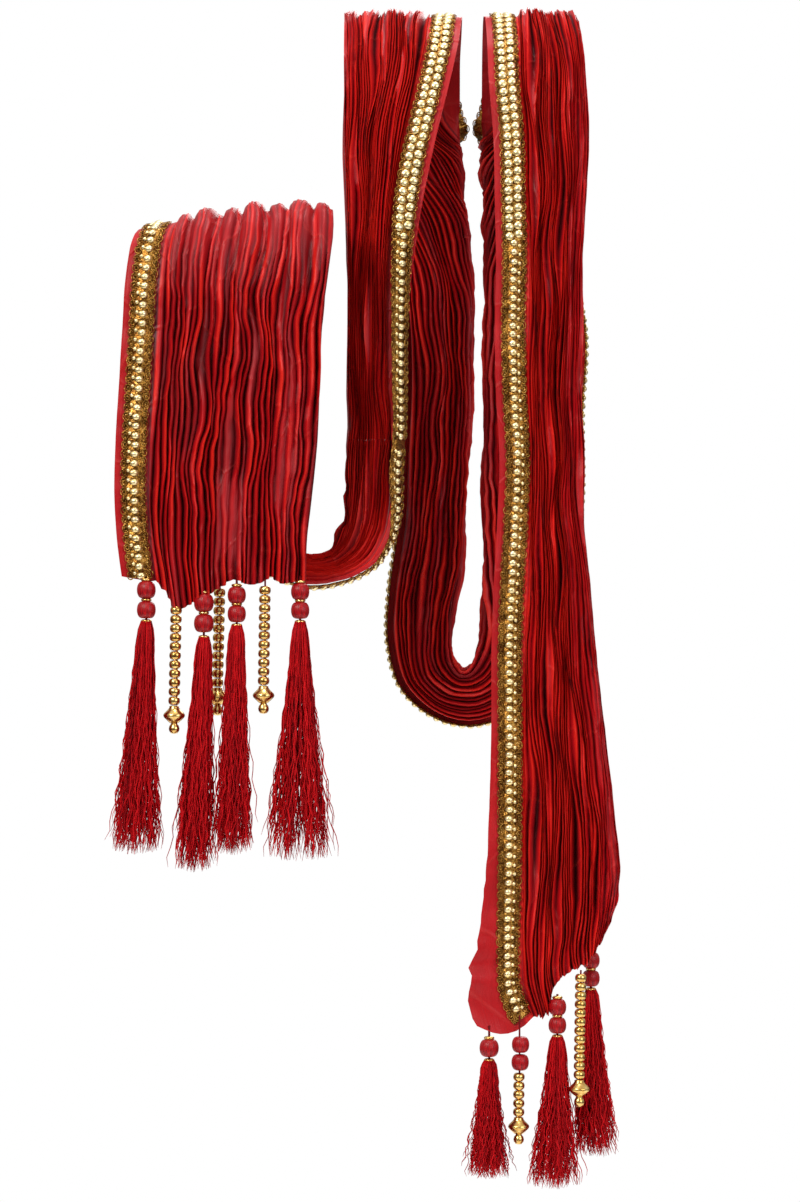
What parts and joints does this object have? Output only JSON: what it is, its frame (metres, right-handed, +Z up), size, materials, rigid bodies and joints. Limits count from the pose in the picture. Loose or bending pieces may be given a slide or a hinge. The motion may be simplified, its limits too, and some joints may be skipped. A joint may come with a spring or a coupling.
{
  "type": "dupatta stole",
  "caption": "Long pleated crimson organza stole with a gold edge trim, draped over both shoulders and one forearm, with silk tassels and gold bead drops on its ends.",
  "frame": {"origin": "point at the base of the wearer's neck, midway between the two shoulder saddles, where the stole is held up", "axes": "+X to the wearer's left, +Y to the wearer's back, +Z up"},
  "size_m": [0.4388, 0.2782, 1.0475],
  "materials": {
    "pleated_organza": "sheer satin-striped silk organza, hand pleated",
    "gold_trim": "gold bullion gimp with domed sequins",
    "gold_beads": "polished gold-plated beads",
    "silk_beads": "silk thread wrapped round beads",
    "tassel_thread": "loose crimped silk thread"
  },
  "bodies": {
    "root": {"cloth_arm_fall": "pleated_organza", "trim_arm_fall": "gold_trim", "cloth_side_swag": "pleated_organza", "trim_side_swag": "gold_trim", "cloth_right_shoulder": "pleated_organza", "trim_right_shoulder": "gold_trim", "cloth_back_swag": "pleated_organza", "trim_back_swag": "gold_trim", "cloth_left_shoulder": "pleated_organza", "trim_left_shoulder": "gold_trim", "cloth_front_fall": "pleated_organza", "trim_front_fall": "gold_trim", "arm_tassel_1_rings": "gold_beads", "arm_tassel_1_bead_lower": "silk_beads", "arm_tassel_1_bead_upper": "silk_beads", "arm_tassel_1_skirt": "tassel_thread", "arm_tassel_2_rings": "gold_beads", "arm_tassel_2_bead_lower": "silk_beads", "arm_tassel_2_bead_upper": "silk_beads", "arm_tassel_2_skirt": "tassel_thread", "arm_tassel_3_rings": "gold_beads", "arm_tassel_3_bead_lower": "silk_beads", "arm_tassel_3_bead_upper": "silk_beads", "arm_tassel_3_skirt": "tassel_thread", "arm_tassel_4_rings": "gold_beads", "arm_tassel_4_bead_lower": "silk_beads", "arm_tassel_4_bead_upper": "silk_beads", "arm_tassel_4_skirt": "tassel_thread", "front_tassel_1_rings": "gold_beads", "front_tassel_1_bead_lower": "silk_beads", "front_tassel_1_skirt": "tassel_thread", "front_tassel_2_rings": "gold_beads", "front_tassel_2_bead_lower": "silk_beads", "front_tassel_2_bead_upper": "silk_beads", "front_tassel_2_skirt": "tassel_thread", "front_tassel_3_rings": "gold_beads", "front_tassel_3_bead_lower": "silk_beads", "front_tassel_3_bead_upper": "silk_beads", "front_tassel_3_skirt": "tassel_thread", "arm_drop_1_rondelles": "gold_beads", "arm_drop_1_pendant": "gold_beads", "arm_drop_2_rondelles": "gold_beads", "arm_drop_2_pendant": "gold_beads", "arm_drop_3_rondelles": "gold_beads", "arm_drop_3_pendant": "gold_beads", "front_drop_1_rondelles": "gold_beads", "front_drop_1_pendant": "gold_beads", "front_drop_1_bead_1": "silk_beads", "front_drop_1_bead_2": "silk_beads", "front_drop_2_rondelles": "gold_beads", "front_drop_2_pendant": "gold_beads"}
  },
  "joints": []
}
